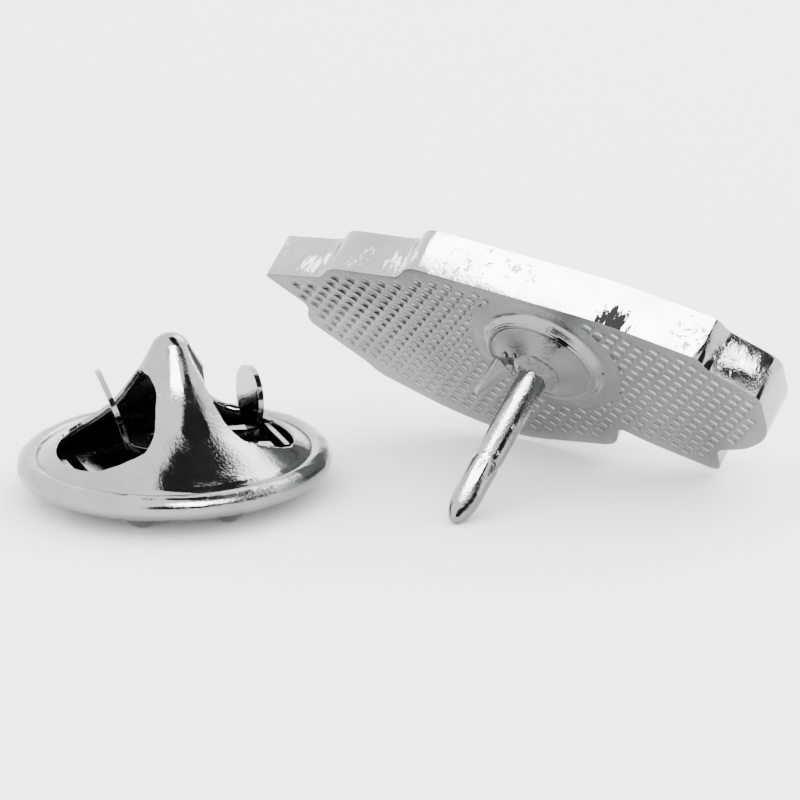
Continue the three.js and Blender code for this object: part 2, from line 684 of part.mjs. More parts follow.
// The lower leaf starts beside the left end of the base strip, narrows to a tongue, and turns up
// through the fork of the upper leaf into the right wing.
function makeLowerLeaf() {
  const half = SPRING_WIDTH / 2;
  const tongue = NECK_WIDTH / 2;
  const shoulder = RIGHT_NECK - SPRING_SHEET / 2 - 2 * LEAF_TRAVEL - 0.35;
  const plan = new THREE.Shape();
  plan.moveTo(-LEAF_END, -half);
  plan.lineTo(shoulder - 0.6, -half);
  plan.quadraticCurveTo(shoulder, -half, shoulder, -tongue);
  plan.lineTo(RIGHT_NECK, -tongue);
  plan.lineTo(RIGHT_NECK, tongue);
  plan.lineTo(shoulder, tongue);
  plan.quadraticCurveTo(shoulder, half, shoulder - 0.6, half);
  plan.lineTo(-LEAF_END, half);
  const low = LOW_LEAF_Z - SPRING_SHEET / 2;
  const leaf = solidOf(prism(plan, low, low + SPRING_SHEET));
  const hole = prism(discShape(GRIP_HOLE_R, LEAF_TRAVEL, 0), 0, CAP_HEIGHT, 12);
  const lean = RIGHT_WING_LEAN;
  const wing = standingWing(1, RIGHT_NECK, low, lean, RIGHT_WING_TWIST, RIGHT_WING_TILT);
  return part("right_wing_leaf", leaf.subtract(solidOf(hole)).add(wing), springMetal);
}

function makeClutch() {
  const clutch = new THREE.Group();
  clutch.add(makeCap(), makeBasePlate(), makeBaseStrip(), makeUpperLeaf(), makeLowerLeaf());
  clutch.rotation.z = rad(CLUTCH_TURN);
  return clutch;
}

// ---- Assembly ----------------------------------------------------------------------------------

const tieTack = new THREE.Group();
const tack = makeTack();
placeTack(tack);
tieTack.add(tack, makeClutch());

// The origin is the middle of the footprint of everything, on the table.
tieTack.updateMatrixWorld(true);
const extent = new THREE.Box3().setFromObject(tieTack, true);
const middle = extent.getCenter(new THREE.Vector3());
tieTack.position.set(-middle.x, -middle.y, -extent.min.z);

export default tieTack;
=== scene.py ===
"""A tie tack lying beside its butterfly clutch, on a white table under soft studio light.

Sizes are millimetres, except for the cards and lamps, which are in metres. Each piece is modelled
in the frame of its own half of the object, tack or clutch, and is put in its place in metres when
it is finished.
"""

import json
import math

import bmesh
import bpy
from mathutils import Matrix, Vector, noise


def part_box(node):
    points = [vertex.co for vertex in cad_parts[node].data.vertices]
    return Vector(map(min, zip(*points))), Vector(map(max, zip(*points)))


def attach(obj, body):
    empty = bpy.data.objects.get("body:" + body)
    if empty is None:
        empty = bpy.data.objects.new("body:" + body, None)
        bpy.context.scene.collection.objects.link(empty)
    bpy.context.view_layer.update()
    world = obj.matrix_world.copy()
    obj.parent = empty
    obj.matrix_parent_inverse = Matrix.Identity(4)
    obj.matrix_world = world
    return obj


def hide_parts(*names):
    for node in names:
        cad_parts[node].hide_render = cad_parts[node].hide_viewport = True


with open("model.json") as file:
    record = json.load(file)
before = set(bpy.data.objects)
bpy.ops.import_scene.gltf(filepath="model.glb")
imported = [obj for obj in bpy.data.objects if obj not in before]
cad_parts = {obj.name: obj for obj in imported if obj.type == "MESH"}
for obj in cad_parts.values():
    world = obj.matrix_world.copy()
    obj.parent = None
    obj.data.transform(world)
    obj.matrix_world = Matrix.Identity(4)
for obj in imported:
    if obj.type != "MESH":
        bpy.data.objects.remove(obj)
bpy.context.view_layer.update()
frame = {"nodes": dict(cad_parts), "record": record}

MM = 0.001

# ---- Sizes, as in the CAD part ------------------------------------------------------------------

PLAQUE_THICK = 1.85
FRONT_RECESS = 0.3
PLAQUE_EDGE = 0.16  # rounding of the plaque's edges
PLAQUE_BORDER = 0.1  # smooth strip round its back
WAFFLE_PITCH = 0.479
WAFFLE_ROWS = Vector((0.891, -0.453, 0))  # direction of one family of grooves on the plaque's back
WAFFLE_RIDGE = 0.1  # half the width left standing between two pits
WAFFLE_WALL = 0.05  # how far a pit's walls lean in
WAFFLE_PIT = 0.06
WAFFLE_REACH = 13  # how far the grooves are cut each way from the post

POST_R = 0.535
POST_LENGTH = 7.8
POST_TIP_R = 0.3
POST_TAPER = 1.3
POST_GROOVE_AT = 2.75
POST_GROOVE_HALF = 0.17
POST_GROOVE_DEPTH = 0.03
POST_FOOT = 0.55
POST_TIP_ANGLE = math.radians(18)  # where the taper meets the round tip
PAD_R = 2.155
PAD_DOME_TOP = 0.96
PAD_EDGE = 0.03
SOLDER_R = 3.0
SOLDER_TOP = 0.13
SOLDER_FLOOR = -0.1
SOLDER_SINK = 0.015  # puts the pool's thin edge under the plaque's back
POOL_FILLET_HEIGHT = 0.3
POOL_FILLET_WIDTH = 0.26
ROOT_REACH = 0.36
ROOT_HEIGHT = 0.22
ROOT_OVERLAP = 0.02

CAP_HEIGHT = 5.95
CAP_NOSE_R = 0.76
CAP_FLANK = math.radians(27.5)
CAP_SKIRT_R = 8.5
CAP_SLOPE = math.radians(25.5)
CAP_SHEET = 0.26
WINDOW_BELOW_TOP = 1.23
WINDOW_TOP = CAP_HEIGHT - WINDOW_BELOW_TOP
WINDOW_WIDEST = 2.78
WINDOW_WIDEST_Z = 2.1
WINDOW_FOOT = 2.5
WINDOW_REACH = 4.35
WINDOW_SHIFT = -0.18

CLUTCH_R = 5.7
BASE_SHEET = 0.2
BASE_UNDERSIDE = 0.66
ROLL_R = 0.46
ROLL_INSIDE = 0.008  # how far the uneven roll stays inside its nominal radius
FOOT_R = 0.68
FOOT_COUNT = 8
FOOT_CIRCLE = 4.1
FOOT_TURN = math.radians(-123.5)
BASE_HOLE_R = 0.72
FUNNEL_R = 1.2
FUNNEL_HEIGHT = 0.2
ROLL_END = 0.7 * math.pi  # how far round the roll comes over the cap
FOOT_SINK = 0.04  # keeps the feet's tops under the base plate's upper face
SPRING_EDGE = 0.035

AROUND = 160  # steps round the clutch
MERGE = 1e-4
COPY_MERGE = 1e-3
FLAT_ANGLE = math.radians(2)  # faces nearer to level than this are joined in a copy
SHARP_ANGLE = math.radians(48)
EDGE_ANGLE = math.radians(50)  # edges sharper than this are rounded

# ---- Where the two halves lie -------------------------------------------------------------------

record = frame["record"]
mounts = {mount["name"]: mount for mount in record["mounts"]}
joints = {joint["name"]: joint for joint in record["behaviour"]["joints"]}


def basis(along, up, origin):
    """A frame whose Z is up and whose X is along, squared to it. It takes millimetres to metres."""
    along = (along - up * along.dot(up)).normalized()
    across = up.cross(along)
    turn = Matrix((along, across, up)).transposed().to_4x4()
    return Matrix.Translation(origin) @ turn @ Matrix.Scale(MM, 4)


front = mounts["plaque_front"]
post_way = -Vector(front["axis"]).normalized()
plaque_way = Vector((0.8908, -0.4041, -0.2081))
post_root = Vector(front["pos_m"]) + post_way * (PLAQUE_THICK - FRONT_RECESS) * MM
TACK = basis(plaque_way, post_way, post_root)

low, high = (Vector(corner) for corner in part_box("clutch_base_plate"))
clutch_centre = Vector(((low.x + high.x) / 2, (low.y + high.y) / 2, 0))
CLUTCH = basis(Vector(joints["left_wing_squeeze"]["axis"]), Vector((0, 0, 1)), clutch_centre)

# ---- Node groups --------------------------------------------------------------------------------

FLOAT_OR_VECTOR = {"float": "NodeSocketFloat", "vector": "NodeSocketVector"}

# Sizes of the noises, in waves per metre.
FINE_DIMPLES = 9000
DIMPLE_PATCHES = 700
NICK_PITS = 2600
NICK_PLACES = 330
TARNISH_CLOUDS = 420
PAINTED_STREAK_NOISE = 5200
PAINTED_STREAK_STRETCH = -0.75  # shrinks the noise's place along the post, which draws the painted streaks out

def group(name, inputs, outputs):
    """A shader node group with its sockets, given as (name, kind), and nothing between them."""
    tree = bpy.data.node_groups.new(name, "ShaderNodeTree")
    for way, sockets in (("INPUT", inputs), ("OUTPUT", outputs)):
        for label, kind in sockets:
            tree.interface.new_socket(name=label, in_out=way, socket_type=FLOAT_OR_VECTOR[kind])
    start = tree.nodes.new("NodeGroupInput")
    end = tree.nodes.new("NodeGroupOutput")
    return tree, start, end


def noise_node(tree, scale, detail, rough=0.5, distortion=0.0):
    node = tree.nodes.new("ShaderNodeTexNoise")
    node.inputs["Scale"].default_value = scale
    node.inputs["Detail"].default_value = detail
    node.inputs["Roughness"].default_value = rough
    node.inputs["Distortion"].default_value = distortion
    return node


def ramp_node(tree, low_at, high_at, low_out=0.0, high_out=1.0):
    """A smooth step from one value to another between two places."""
    node = tree.nodes.new("ShaderNodeMapRange")
    node.interpolation_type = "SMOOTHSTEP"
    node.inputs["From Min"].default_value = low_at
    node.inputs["From Max"].default_value = high_at
    node.inputs["To Min"].default_value = low_out
    node.inputs["To Max"].default_value = high_out
    return node


def math_node(tree, operation, first, second):
    """One sum on two outputs."""
    node = tree.nodes.new("ShaderNodeMath")
    node.operation = operation
    tree.links.new(first, node.inputs[0])
    tree.links.new(second, node.inputs[1])
    return node.outputs[0]


def make_orange_peel():
    """The fine dimpling of plate over pressed sheet, in patches."""
    outputs = [("Height", "float"), ("Patches", "float")]
    tree, start, end = group("orange_peel", [("Vector", "vector")], outputs)
    fine = noise_node(tree, FINE_DIMPLES, 3, 0.6)
    patches = noise_node(tree, DIMPLE_PATCHES, 2)
    for node in (fine, patches):
        tree.links.new(start.outputs["Vector"], node.inputs["Vector"])
    spread = ramp_node(tree, 0.4, 0.62, 0.25, 1.0)
    tree.links.new(patches.outputs["Fac"], spread.inputs["Value"])
    height = math_node(tree, "MULTIPLY", fine.outputs["Fac"], spread.outputs["Result"])
    tree.links.new(height, end.inputs["Height"])
    tree.links.new(spread.outputs["Result"], end.inputs["Patches"])
    return tree


def make_nicks():
    """Small dents and chips in the plate, gathered in a few places."""
    tree, start, end = group("nicks", [("Vector", "vector")], [("Mask", "float")])
    pits = noise_node(tree, NICK_PITS, 4, 0.75, 0.6)
    where = noise_node(tree, NICK_PLACES, 1)
    masks = []
    for node in (pits, where):
        tree.links.new(start.outputs["Vector"], node.inputs["Vector"])
        sharp = ramp_node(tree, 0.56, 0.66)
        tree.links.new(node.outputs["Fac"], sharp.inputs["Value"])
        masks.append(sharp.outputs["Result"])
    tree.links.new(math_node(tree, "MULTIPLY", *masks), end.inputs["Mask"])
    return tree


def vector_node(tree, operation):
    node = tree.nodes.new("ShaderNodeVectorMath")
    node.operation = operation
    return node


def make_painted_streaks():
    """Ragged streaks of painted reflection and painted shade that run the post's way, within a
    reach of one point.
    """
    inputs = [("Vector", "vector"), ("Centre", "vector"), ("Reach", "float")]
    tree, start, end = group("painted_streaks", inputs, [("Mask", "float")])
    along = vector_node(tree, "PROJECT")
    along.inputs[1].default_value = post_way
    shrunk = vector_node(tree, "MULTIPLY_ADD")
    shrunk.inputs[1].default_value = (PAINTED_STREAK_STRETCH, PAINTED_STREAK_STRETCH, PAINTED_STREAK_STRETCH)
    ragged = noise_node(tree, PAINTED_STREAK_NOISE, 5, 0.72, 0.3)
    tree.links.new(start.outputs["Vector"], along.inputs[0])
    tree.links.new(along.outputs[0], shrunk.inputs[0])
    tree.links.new(start.outputs["Vector"], shrunk.inputs[2])
    tree.links.new(shrunk.outputs[0], ragged.inputs["Vector"])
    gap = vector_node(tree, "DISTANCE")
    tree.links.new(start.outputs["Vector"], gap.inputs[0])
    tree.links.new(start.outputs["Centre"], gap.inputs[1])
    share = math_node(tree, "DIVIDE", gap.outputs["Value"], start.outputs["Reach"])
    near = ramp_node(tree, 0.1, 1.0, 0.2, -0.2)
    tree.links.new(share, near.inputs["Value"])
    total = math_node(tree, "ADD", ragged.outputs["Fac"], near.outputs["Result"])
    sharp = ramp_node(tree, 0.56, 0.6)
    tree.links.new(total, sharp.inputs["Value"])
    tree.links.new(sharp.outputs["Result"], end.inputs["Mask"])
    return tree


def make_tarnish():
    """Soft cloudy darkening."""
    tree, start, end = group("tarnish", [("Vector", "vector")], [("Cloud", "float")])
    cloud = noise_node(tree, TARNISH_CLOUDS, 4, 0.55, 0.3)
    tree.links.new(start.outputs["Vector"], cloud.inputs["Vector"])
    soft = ramp_node(tree, 0.3, 0.75)
    tree.links.new(cloud.outputs["Fac"], soft.inputs["Value"])
    tree.links.new(soft.outputs["Result"], end.inputs["Cloud"])
    return tree


ORANGE_PEEL = make_orange_peel()
NICKS = make_nicks()
TARNISH = make_tarnish()
# Streaks of painted reflection and painted shade, laid on the plaque's walls, the pad and the
# solder pool.
PAINTED_STREAKS = make_painted_streaks()

# ---- Metals -------------------------------------------------------------------------------------

PLATE_BRIGHTNESS = 0.55  # every plate's colour is a share of this
PLATE_TINT = (1, 1.003, 1.008)


def grey(value):
    return tuple(value * PLATE_BRIGHTNESS * tint for tint in PLATE_TINT)


def metal(name, clean, dull, shine, peel, nick):
    """A plated metal. clean and dull are its two brightnesses, shine its lowest and highest
    roughness, peel and nick the depths of the dimpling and of the nicks in millimetres."""
    material = bpy.data.materials.new(name)
    material.use_nodes = True
    tree = material.node_tree
    surface = tree.nodes["Principled BSDF"]
    surface.inputs["Metallic"].default_value = 1.0
    place = tree.nodes.new("ShaderNodeTexCoord").outputs["Object"]

    effects = []
    for effect in (ORANGE_PEEL, NICKS, TARNISH):
        node = tree.nodes.new("ShaderNodeGroup")
        node.node_tree = effect
        tree.links.new(place, node.inputs["Vector"])
        effects.append(node)
    dimples, chips, cloud = effects

    tint = tree.nodes.new("ShaderNodeMix")
    tint.data_type = "RGBA"
    tint.inputs["A"].default_value = (*grey(clean), 1)
    tint.inputs["B"].default_value = (*grey(dull), 1)
    tree.links.new(cloud.outputs["Cloud"], tint.inputs["Factor"])
    tree.links.new(tint.outputs["Result"], surface.inputs["Base Color"])

    gloss = tree.nodes.new("ShaderNodeMapRange")
    gloss.inputs["To Min"].default_value = shine[0]
    gloss.inputs["To Max"].default_value = shine[1]
    tree.links.new(dimples.outputs["Patches"], gloss.inputs["Value"])
    tree.links.new(gloss.outputs["Result"], surface.inputs["Roughness"])

    normal = None
    for output, depth in ((dimples.outputs["Height"], peel), (chips.outputs["Mask"], nick)):
        if depth:
            bump = tree.nodes.new("ShaderNodeBump")
            bump.invert = True
            bump.inputs["Distance"].default_value = depth * MM
            tree.links.new(output, bump.inputs["Height"])
            if normal:
                tree.links.new(normal, bump.inputs["Normal"])
            normal = bump.outputs["Normal"]
    tree.links.new(normal, surface.inputs["Normal"])
    return material


def add_painted_streaks(material, spots):
    """Lays streaks of painted reflection and painted shade, each of one grey, over a metal's
    colour, round each (x, y, z, reach, grey).
    """
    tree = material.node_tree
    surface = tree.nodes["Principled BSDF"]
    place = next(node for node in tree.nodes if node.type == "TEX_COORD").outputs["Object"]
    for x, y, z, reach, shade in spots:
        node = tree.nodes.new("ShaderNodeGroup")
        node.node_tree = PAINTED_STREAKS
        node.inputs["Centre"].default_value = TACK @ Vector((x, y, z))
        node.inputs["Reach"].default_value = reach * MM
        tree.links.new(place, node.inputs["Vector"])
        mix = tree.nodes.new("ShaderNodeMix")
        mix.data_type = "RGBA"
        mix.inputs["B"].default_value = (shade, shade, shade, 1)
        tree.links.new(node.outputs["Mask"], mix.inputs["Factor"])
        tree.links.new(surface.inputs["Base Color"].links[0].from_socket, mix.inputs["A"])
        tree.links.new(mix.outputs["Result"], surface.inputs["Base Color"])


BELL_PLATE = metal("bell_plate", 0.44, 0.35, (0.04, 0.1), 0.011, 0.02)
ROLLED_PLATE = metal("rolled_plate", 0.44, 0.34, (0.06, 0.16), 0.022, 0.12)
# For the faces inside the cap and under it: a rougher copy of the plate, kept apart as painted
# shade.
SHADED_INSIDE = metal("shaded_inside", 0.5, 0.3, (0.16, 0.3), 0.02, 0)
SPRING_PLATE = metal("spring_plate", 0.44, 0.34, (0.05, 0.12), 0.006, 0.01)
POST_PLATE = metal("post_plate", 0.44, 0.3, (0.05, 0.14), 0.022, 0.03)
PAD_PLATE = metal("pad_plate", 0.34, 0.22, (0.1, 0.22), 0.014, 0.02)
WALL_PLATE = metal("wall_plate", 0.52, 0.4, (0.05, 0.14), 0.012, 0.05)
CAST_PLATE = metal("cast_plate", 0.37, 0.3, (0.24, 0.36), 0.012, 0)
# Pale plate for the pit walls that face one way: a painted highlight.
PIT_HIGHLIGHT_PLATE = metal("painted_pit_highlight", 0.8, 0.66, (0.12, 0.2), 0.006, 0)
CAST_FIELD = metal("cast_field", 0.4, 0.32, (0.14, 0.24), 0.01, 0)
POOL_PLATE = metal("pool_plate", 0.38, 0.3, (0.2, 0.34), 0.02, 0.03)
SOLDER = metal("solder", 0.3, 0.16, (0.14, 0.32), 0.05, 0.06)

# Painted reflections on the plaque's side walls: dark streaks where dark surroundings are mirrored,
# and near-white streaks as painted highlights.
WALL_PAINTED_REFLECTIONS = [
    (2.8, 3.2, -0.2, 1.5, 0.002),
    (7.3, 2.4, -0.6, 1.1, 0.3),
    (6.4, 3.4, -0.6, 0.5, 0.02),
    (-6.0, 2.5, -0.7, 1.6, 0.95),
    (-9.8, 0.4, -0.7, 1.3, 0.95),
]
# Painted shade on the pad: a dark streak along the inside of its rim, one on the spur's edge, and
# one on the pad's left side.
PAD_PAINTED_SHADE = [
    (0.97, 1.83, 0.42, 0.7, 0.004),
    (-1.55, -0.75, 0.8, 0.55, 0.004),
    (-0.95, 0.1, 0.75, 0.6, 0.01),
]
# Pores in the solder pool, drawn as near-black spots of painted shade instead of modelled pits.
POOL_PORE_SHADE = [
    (2.23, 0.59, 0.05, 0.12, 0.003),
    (2.32, 0.14, 0.05, 0.15, 0.003),
    (1.6, 1.87, 0.1, 0.1, 0.003),
]
add_painted_streaks(PAD_PLATE, PAD_PAINTED_SHADE)
add_painted_streaks(POOL_PLATE, POOL_PORE_SHADE)
add_painted_streaks(WALL_PLATE, WALL_PAINTED_REFLECTIONS)

# ---- Making a piece -----------------------------------------------------------------------------


def piece(name, mesh, place, body, node, materials, bevel=0.0, sheet=0.0):
    """Ends the modelling of a piece: puts it in place, hangs it on the body that it rides on, and
    hides the CAD part that it replaces.
    """
    bmesh.ops.remove_doubles(mesh, verts=mesh.verts, dist=MERGE)
    mesh.transform(place)
    data = bpy.data.meshes.new(name)
    mesh.to_mesh(data)
    mesh.free()
    data.shade_smooth()
    for material in materials:
        data.materials.append(material)
    obj = bpy.data.objects.new(name, data)
    bpy.context.scene.collection.objects.link(obj)
    if sheet:
        wall = obj.modifiers.new("sheet", "SOLIDIFY")
        wall.thickness = sheet * MM
        wall.offset = -1
        wall.use_even_offset = True
        wall.material_offset = 1
        wall.material_offset_rim = 0
    if bevel:
        rounding = obj.modifiers.new("edges", "BEVEL")
        rounding.width = bevel * MM
        rounding.segments = 2
        rounding.limit_method = "ANGLE"
        rounding.angle_limit = EDGE_ANGLE
    data.set_sharp_from_angle(angle=SHARP_ANGLE)
    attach(obj, body)
    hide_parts(node)


def spun(profile, steps, closed=False):
    """A body of revolution about Z from a list of (radius, height)."""
    mesh = bmesh.new()
    verts = [mesh.verts.new((r, 0, z)) for r, z in profile]
    edges = [mesh.edges.new(pair) for pair in zip(verts, verts[1:])]
    if closed:
        edges.append(mesh.edges.new((verts[-1], verts[0])))
    bmesh.ops.spin(
        mesh,
        geom=verts + edges,
        cent=(0, 0, 0),
        axis=(0, 0, 1),
        angle=2 * math.pi,
        steps=steps,
        use_merge=True,
    )
    bmesh.ops.remove_doubles(mesh, verts=mesh.verts, dist=MERGE)
    bmesh.ops.recalc_face_normals(mesh, faces=mesh.faces)
    return mesh


def arc(centre, radius, start, end, steps):
    """Points along an arc, from one angle to another, both ends included."""
    angles = [start + (end - start) * i / steps for i in range(steps + 1)]
    return [(centre[0] + radius * math.cos(a), centre[1] + radius * math.sin(a)) for a in angles]


def node_copy(node, place):
    """A merged copy of a CAD node's mesh, in the millimetres of its half of the object."""
    mesh = bmesh.new()
    mesh.from_mesh(frame["nodes"][node].data)
    mesh.transform(place.inverted())
    bmesh.ops.remove_doubles(mesh, verts=mesh.verts, dist=COPY_MERGE)
    bmesh.ops.dissolve_limit(mesh, angle_limit=FLAT_ANGLE, verts=mesh.verts, edges=mesh.edges)
    return mesh


# ---- Plaque -------------------------------------------------------------------------------------


LEVEL = 0.99  # least part of a level face's normal that points up or down
NEARLY_LEVEL = 0.97
RIM_ANGLE = math.radians(60)
WHOLE_CELL = 0.97 * WAFFLE_PITCH**2
WAFFLE_COLUMNS = WAFFLE_ROWS.cross(Vector((0, 0, 1)))


def round_rims(mesh):
    rims = [
        edge
        for edge in mesh.edges
        if edge.calc_face_angle(0) > RIM_ANGLE
        and abs(edge.verts[0].co.z - edge.verts[1].co.z) < 0.01
    ]
    bmesh.ops.bevel(
        mesh,
        geom=rims,
        offset=PLAQUE_EDGE,
        offset_type="OFFSET",
        affect="EDGES",
        segments=3,
        profile=0.5,
        material=-1,
        clamp_overlap=True,
    )
    mesh.normal_update()


def inset_back(mesh):
    """Leaves a smooth strip round the plaque's back, and gives its faces."""
    back = max((f for f in mesh.faces if f.normal.z > LEVEL), key=lambda f: f.calc_area())
    inset = bmesh.ops.inset_region(mesh, faces=[back], thickness=PLAQUE_BORDER, depth=0)
    return set(inset["faces"])


def waffle_cells(mesh, border):
    return [
        f
        for f in mesh.faces
        if f not in border and f.normal.z > LEVEL and abs(f.calc_center_median().z) < 0.002
    ]


def with_edges(faces):
    """The faces with their edges and corners, as the cutting operator wants them."""
    parts = set(faces)
    for face in faces:
        parts.update(face.edges)
        parts.update(face.verts)
    return list(parts)


def cut_waffle(mesh, border):
    count = int(WAFFLE_REACH / WAFFLE_PITCH)
    for way in (WAFFLE_ROWS, WAFFLE_COLUMNS):
        for i in range(-count, count + 1):
            bmesh.ops.bisect_plane(
                mesh,
                geom=with_edges(waffle_cells(mesh, border)),
                dist=MERGE,
                plane_co=way * (i + 0.5) * WAFFLE_PITCH,
                plane_no=way,
            )


def sink_pits(mesh, border):
    """Sinks each whole cell that the solder hasn't drowned, and gives the pits' faces."""
    pits = [
        cell
        for cell in waffle_cells(mesh, border)
        if cell.calc_area() > WHOLE_CELL
        and len(cell.verts) == 4
        and cell.calc_center_median().to_2d().length > SOLDER_R - 0.1
    ]
    bmesh.ops.inset_individual(mesh, faces=pits, thickness=WAFFLE_RIDGE, depth=0)
    walls = bmesh.ops.inset_individual(
        mesh, faces=pits, thickness=WAFFLE_WALL, depth=-WAFFLE_PIT
    )["faces"]
    return set(walls) | set(pits)


def finish_plaque_faces(mesh, sunk):
    """Gives each face its metal: 0 wall, 1 back, 2 front field, 3 the pits' walls on one side,
    painted light as a highlight.
    """
    mesh.normal_update()
    for face in mesh.faces:
        if face in sunk:
            # Pit walls facing one way get metal 3, a painted highlight; the rest of each pit gets
            # the back's metal.
            face.material_index = 3 if face.normal.dot(-WAFFLE_COLUMNS) > 0.4 else 1
        elif face.normal.z > NEARLY_LEVEL:
            face.material_index = 1
        elif face.normal.z < -LEVEL:
            face.material_index = 2


def make_plaque():
    mesh = node_copy("plaque", TACK)
    round_rims(mesh)
    border = inset_back(mesh)
    cut_waffle(mesh, border)
    finish_plaque_faces(mesh, sink_pits(mesh, border))
    metals = [WALL_PLATE, CAST_PLATE, CAST_FIELD, PIT_HIGHLIGHT_PLATE]
    piece("cast_plaque", mesh, TACK, "tack", "plaque", metals)


# ---- Post, pad and solder -----------------------------------------------------------------------


def groove_profile(middle):
    """The post's outside along its shallow grip groove."""
    profile = [(POST_R, middle - POST_GROOVE_HALF)]
    for i in range(1, 8):
        along = i / 8
        dip = POST_GROOVE_DEPTH * math.sin(math.pi * along)
        profile.append((POST_R - dip, middle + POST_GROOVE_HALF * (2 * along - 1)))
    return profile + [(POST_R, middle + POST_GROOVE_HALF)]


def taper_profile(start_z, end_r, end_z):
    """The post's bullet shaped taper, as a curve with one handle."""
    handle_r, handle_z = 0.98 * POST_R, start_z + 0.55 * POST_TAPER
    profile = []
    for i in range(11):
        t = i / 10
        start_share, handle_share, end_share = (1 - t) ** 2, 2 * t * (1 - t), t * t
        r = start_share * POST_R + handle_share * handle_r + end_share * end_r
        z = start_share * start_z + handle_share * handle_z + end_share * end_z
        profile.append((r, z))
    return profile


def make_post():
    tip_centre = POST_LENGTH - POST_TIP_R
    tip = arc((0, tip_centre), POST_TIP_R, POST_TIP_ANGLE, math.pi / 2, 8)
    profile = [(0, POST_FOOT), (POST_R, POST_FOOT)]
    profile += groove_profile(POST_LENGTH - POST_GROOVE_AT)
    profile += taper_profile(POST_LENGTH - POST_TAPER, *tip[0]) + tip[1:]
    mesh = spun(profile, 64)
    piece("nail", mesh, TACK, "tack", "nail_post", [POST_PLATE])


def make_pad():
    mesh = node_copy("post_pad", TACK)
    metals = [PAD_PLATE]
    piece("spurred_pad", mesh, TACK, "tack", "post_pad", metals, bevel=PAD_EDGE)


def pool_top(r):
    """The height of the solder pool, which climbs the pad's wall in a fillet."""
    past_pad = max(0.0, r - PAD_R) / POOL_FILLET_WIDTH
    fillet = POOL_FILLET_HEIGHT * max(0.0, 1 - past_pad) ** 2
    return SOLDER_TOP * (1 - (r / SOLDER_R) ** 3) - SOLDER_SINK + fillet


def make_solder():
    rings = 48
    profile = [(0, SOLDER_FLOOR), (SOLDER_R, SOLDER_FLOOR)]
    for i in range(rings + 1):
        r = SOLDER_R * (1 - i / rings)
        profile.append((r, pool_top(r)))
    mesh = spun(profile, 128)
    for vert in mesh.verts:
        if vert.co.to_2d().length > 0.1:
            swell = 1 + 0.04 * noise.noise(vert.co.normalized() * 2.2)
            vert.co.x *= swell
            vert.co.y *= swell
        if vert.co.z > 0.05:
            vert.co.z += 0.025 * noise.noise(vert.co * 1.7)
    piece("solder_pool", mesh, TACK, "tack", "solder_bed", [POOL_PLATE])


# Blobs of solder round the post's root: degrees round it, distance from its middle, and radius.
BLOBS = [(200, 1.15, 0.2), (176, 1.35, 0.15), (226, 1.0, 0.14), (150, 1.0, 0.11)]
BLOB_SQUAT = Matrix.Diagonal((1, 1, 0.6, 1))


def add_blob(mesh, turn, reach, size):
    """A lump that sits on the pad's falling dome."""
    blob = bmesh.ops.create_icosphere(mesh, subdivisions=3, radius=size)["verts"]
    angle = math.radians(turn)
    height = PAD_DOME_TOP - 0.42 * (reach - 0.55)
    centre = Vector((reach * math.cos(angle), reach * math.sin(angle), height))
    for vert in blob:
        lumps = noise.noise_vector(vert.co * 6) * 0.04
        vert.co = BLOB_SQUAT @ vert.co + lumps + centre


def roughen(mesh, amount, size, sideways):
    """Moves each point by smooth noise, up and down more than sideways."""
    for vert in mesh.verts:
        shift = noise.noise_vector(vert.co / size)
        vert.co += Vector((shift.x * sideways, shift.y * sideways, shift.z)) * amount


def make_root_solder():
    top = PAD_DOME_TOP
    foot = POST_R + ROOT_REACH
    inner = POST_R - ROOT_OVERLAP
    profile = [(inner, top - 0.1), (foot, top - 0.26), (foot, top - 0.12), (foot - 0.12, top)]
    profile += [(foot - 0.22, top + 0.1), (POST_R + 0.03, top + ROOT_HEIGHT)]
    profile += [(inner, top + ROOT_HEIGHT)]
    mesh = spun(profile, 48, closed=True)
    bmesh.ops.subdivide_edges(mesh, edges=mesh.edges, cuts=1, use_grid_fill=True, smooth=0.4)
    roughen(mesh, 0.09, 0.33, 0.4)
    for turn, reach, size in BLOBS:
        add_blob(mesh, turn, reach, size)
    piece("root_fillet", mesh, TACK, "tack", "root_solder", [SOLDER])


# ---- Clutch cap ---------------------------------------------------------------------------------

ROLL_CENTRE_R = CLUTCH_R - ROLL_R
ROLL_CENTRE_Z = BASE_UNDERSIDE + ROLL_R
ROLL_INNER = ROLL_R - BASE_SHEET
FLANGE_R = ROLL_CENTRE_R + 0.3 * ROLL_INNER
SHOULDER_Z = ROLL_CENTRE_Z + ROLL_INNER - 0.06


def cap_profile():
    """The cap's outside from its flange to the top of its nose."""
    nose_z = CAP_HEIGHT - CAP_NOSE_R
    flank_out = Vector((math.cos(CAP_FLANK), math.sin(CAP_FLANK)))
    slope_out = Vector((math.sin(CAP_SLOPE), math.cos(CAP_SLOPE)))
    flank_at = flank_out.y * nose_z + CAP_NOSE_R + CAP_SKIRT_R
    slope_at = slope_out.dot(Vector((FLANGE_R, SHOULDER_Z))) + CAP_SKIRT_R
    det = flank_out.x * slope_out.y - flank_out.y * slope_out.x
    centre = (
        (flank_at * slope_out.y - flank_out.y * slope_at) / det,
        (flank_out.x * slope_at - slope_out.x * flank_at) / det,
    )
    skirt = arc(centre, CAP_SKIRT_R, 1.5 * math.pi - CAP_SLOPE, math.pi + CAP_FLANK, 40)
    nose = arc((0, nose_z), CAP_NOSE_R, CAP_FLANK, math.pi / 2, 14)
    return [(FLANGE_R, SHOULDER_Z)] + skirt + nose


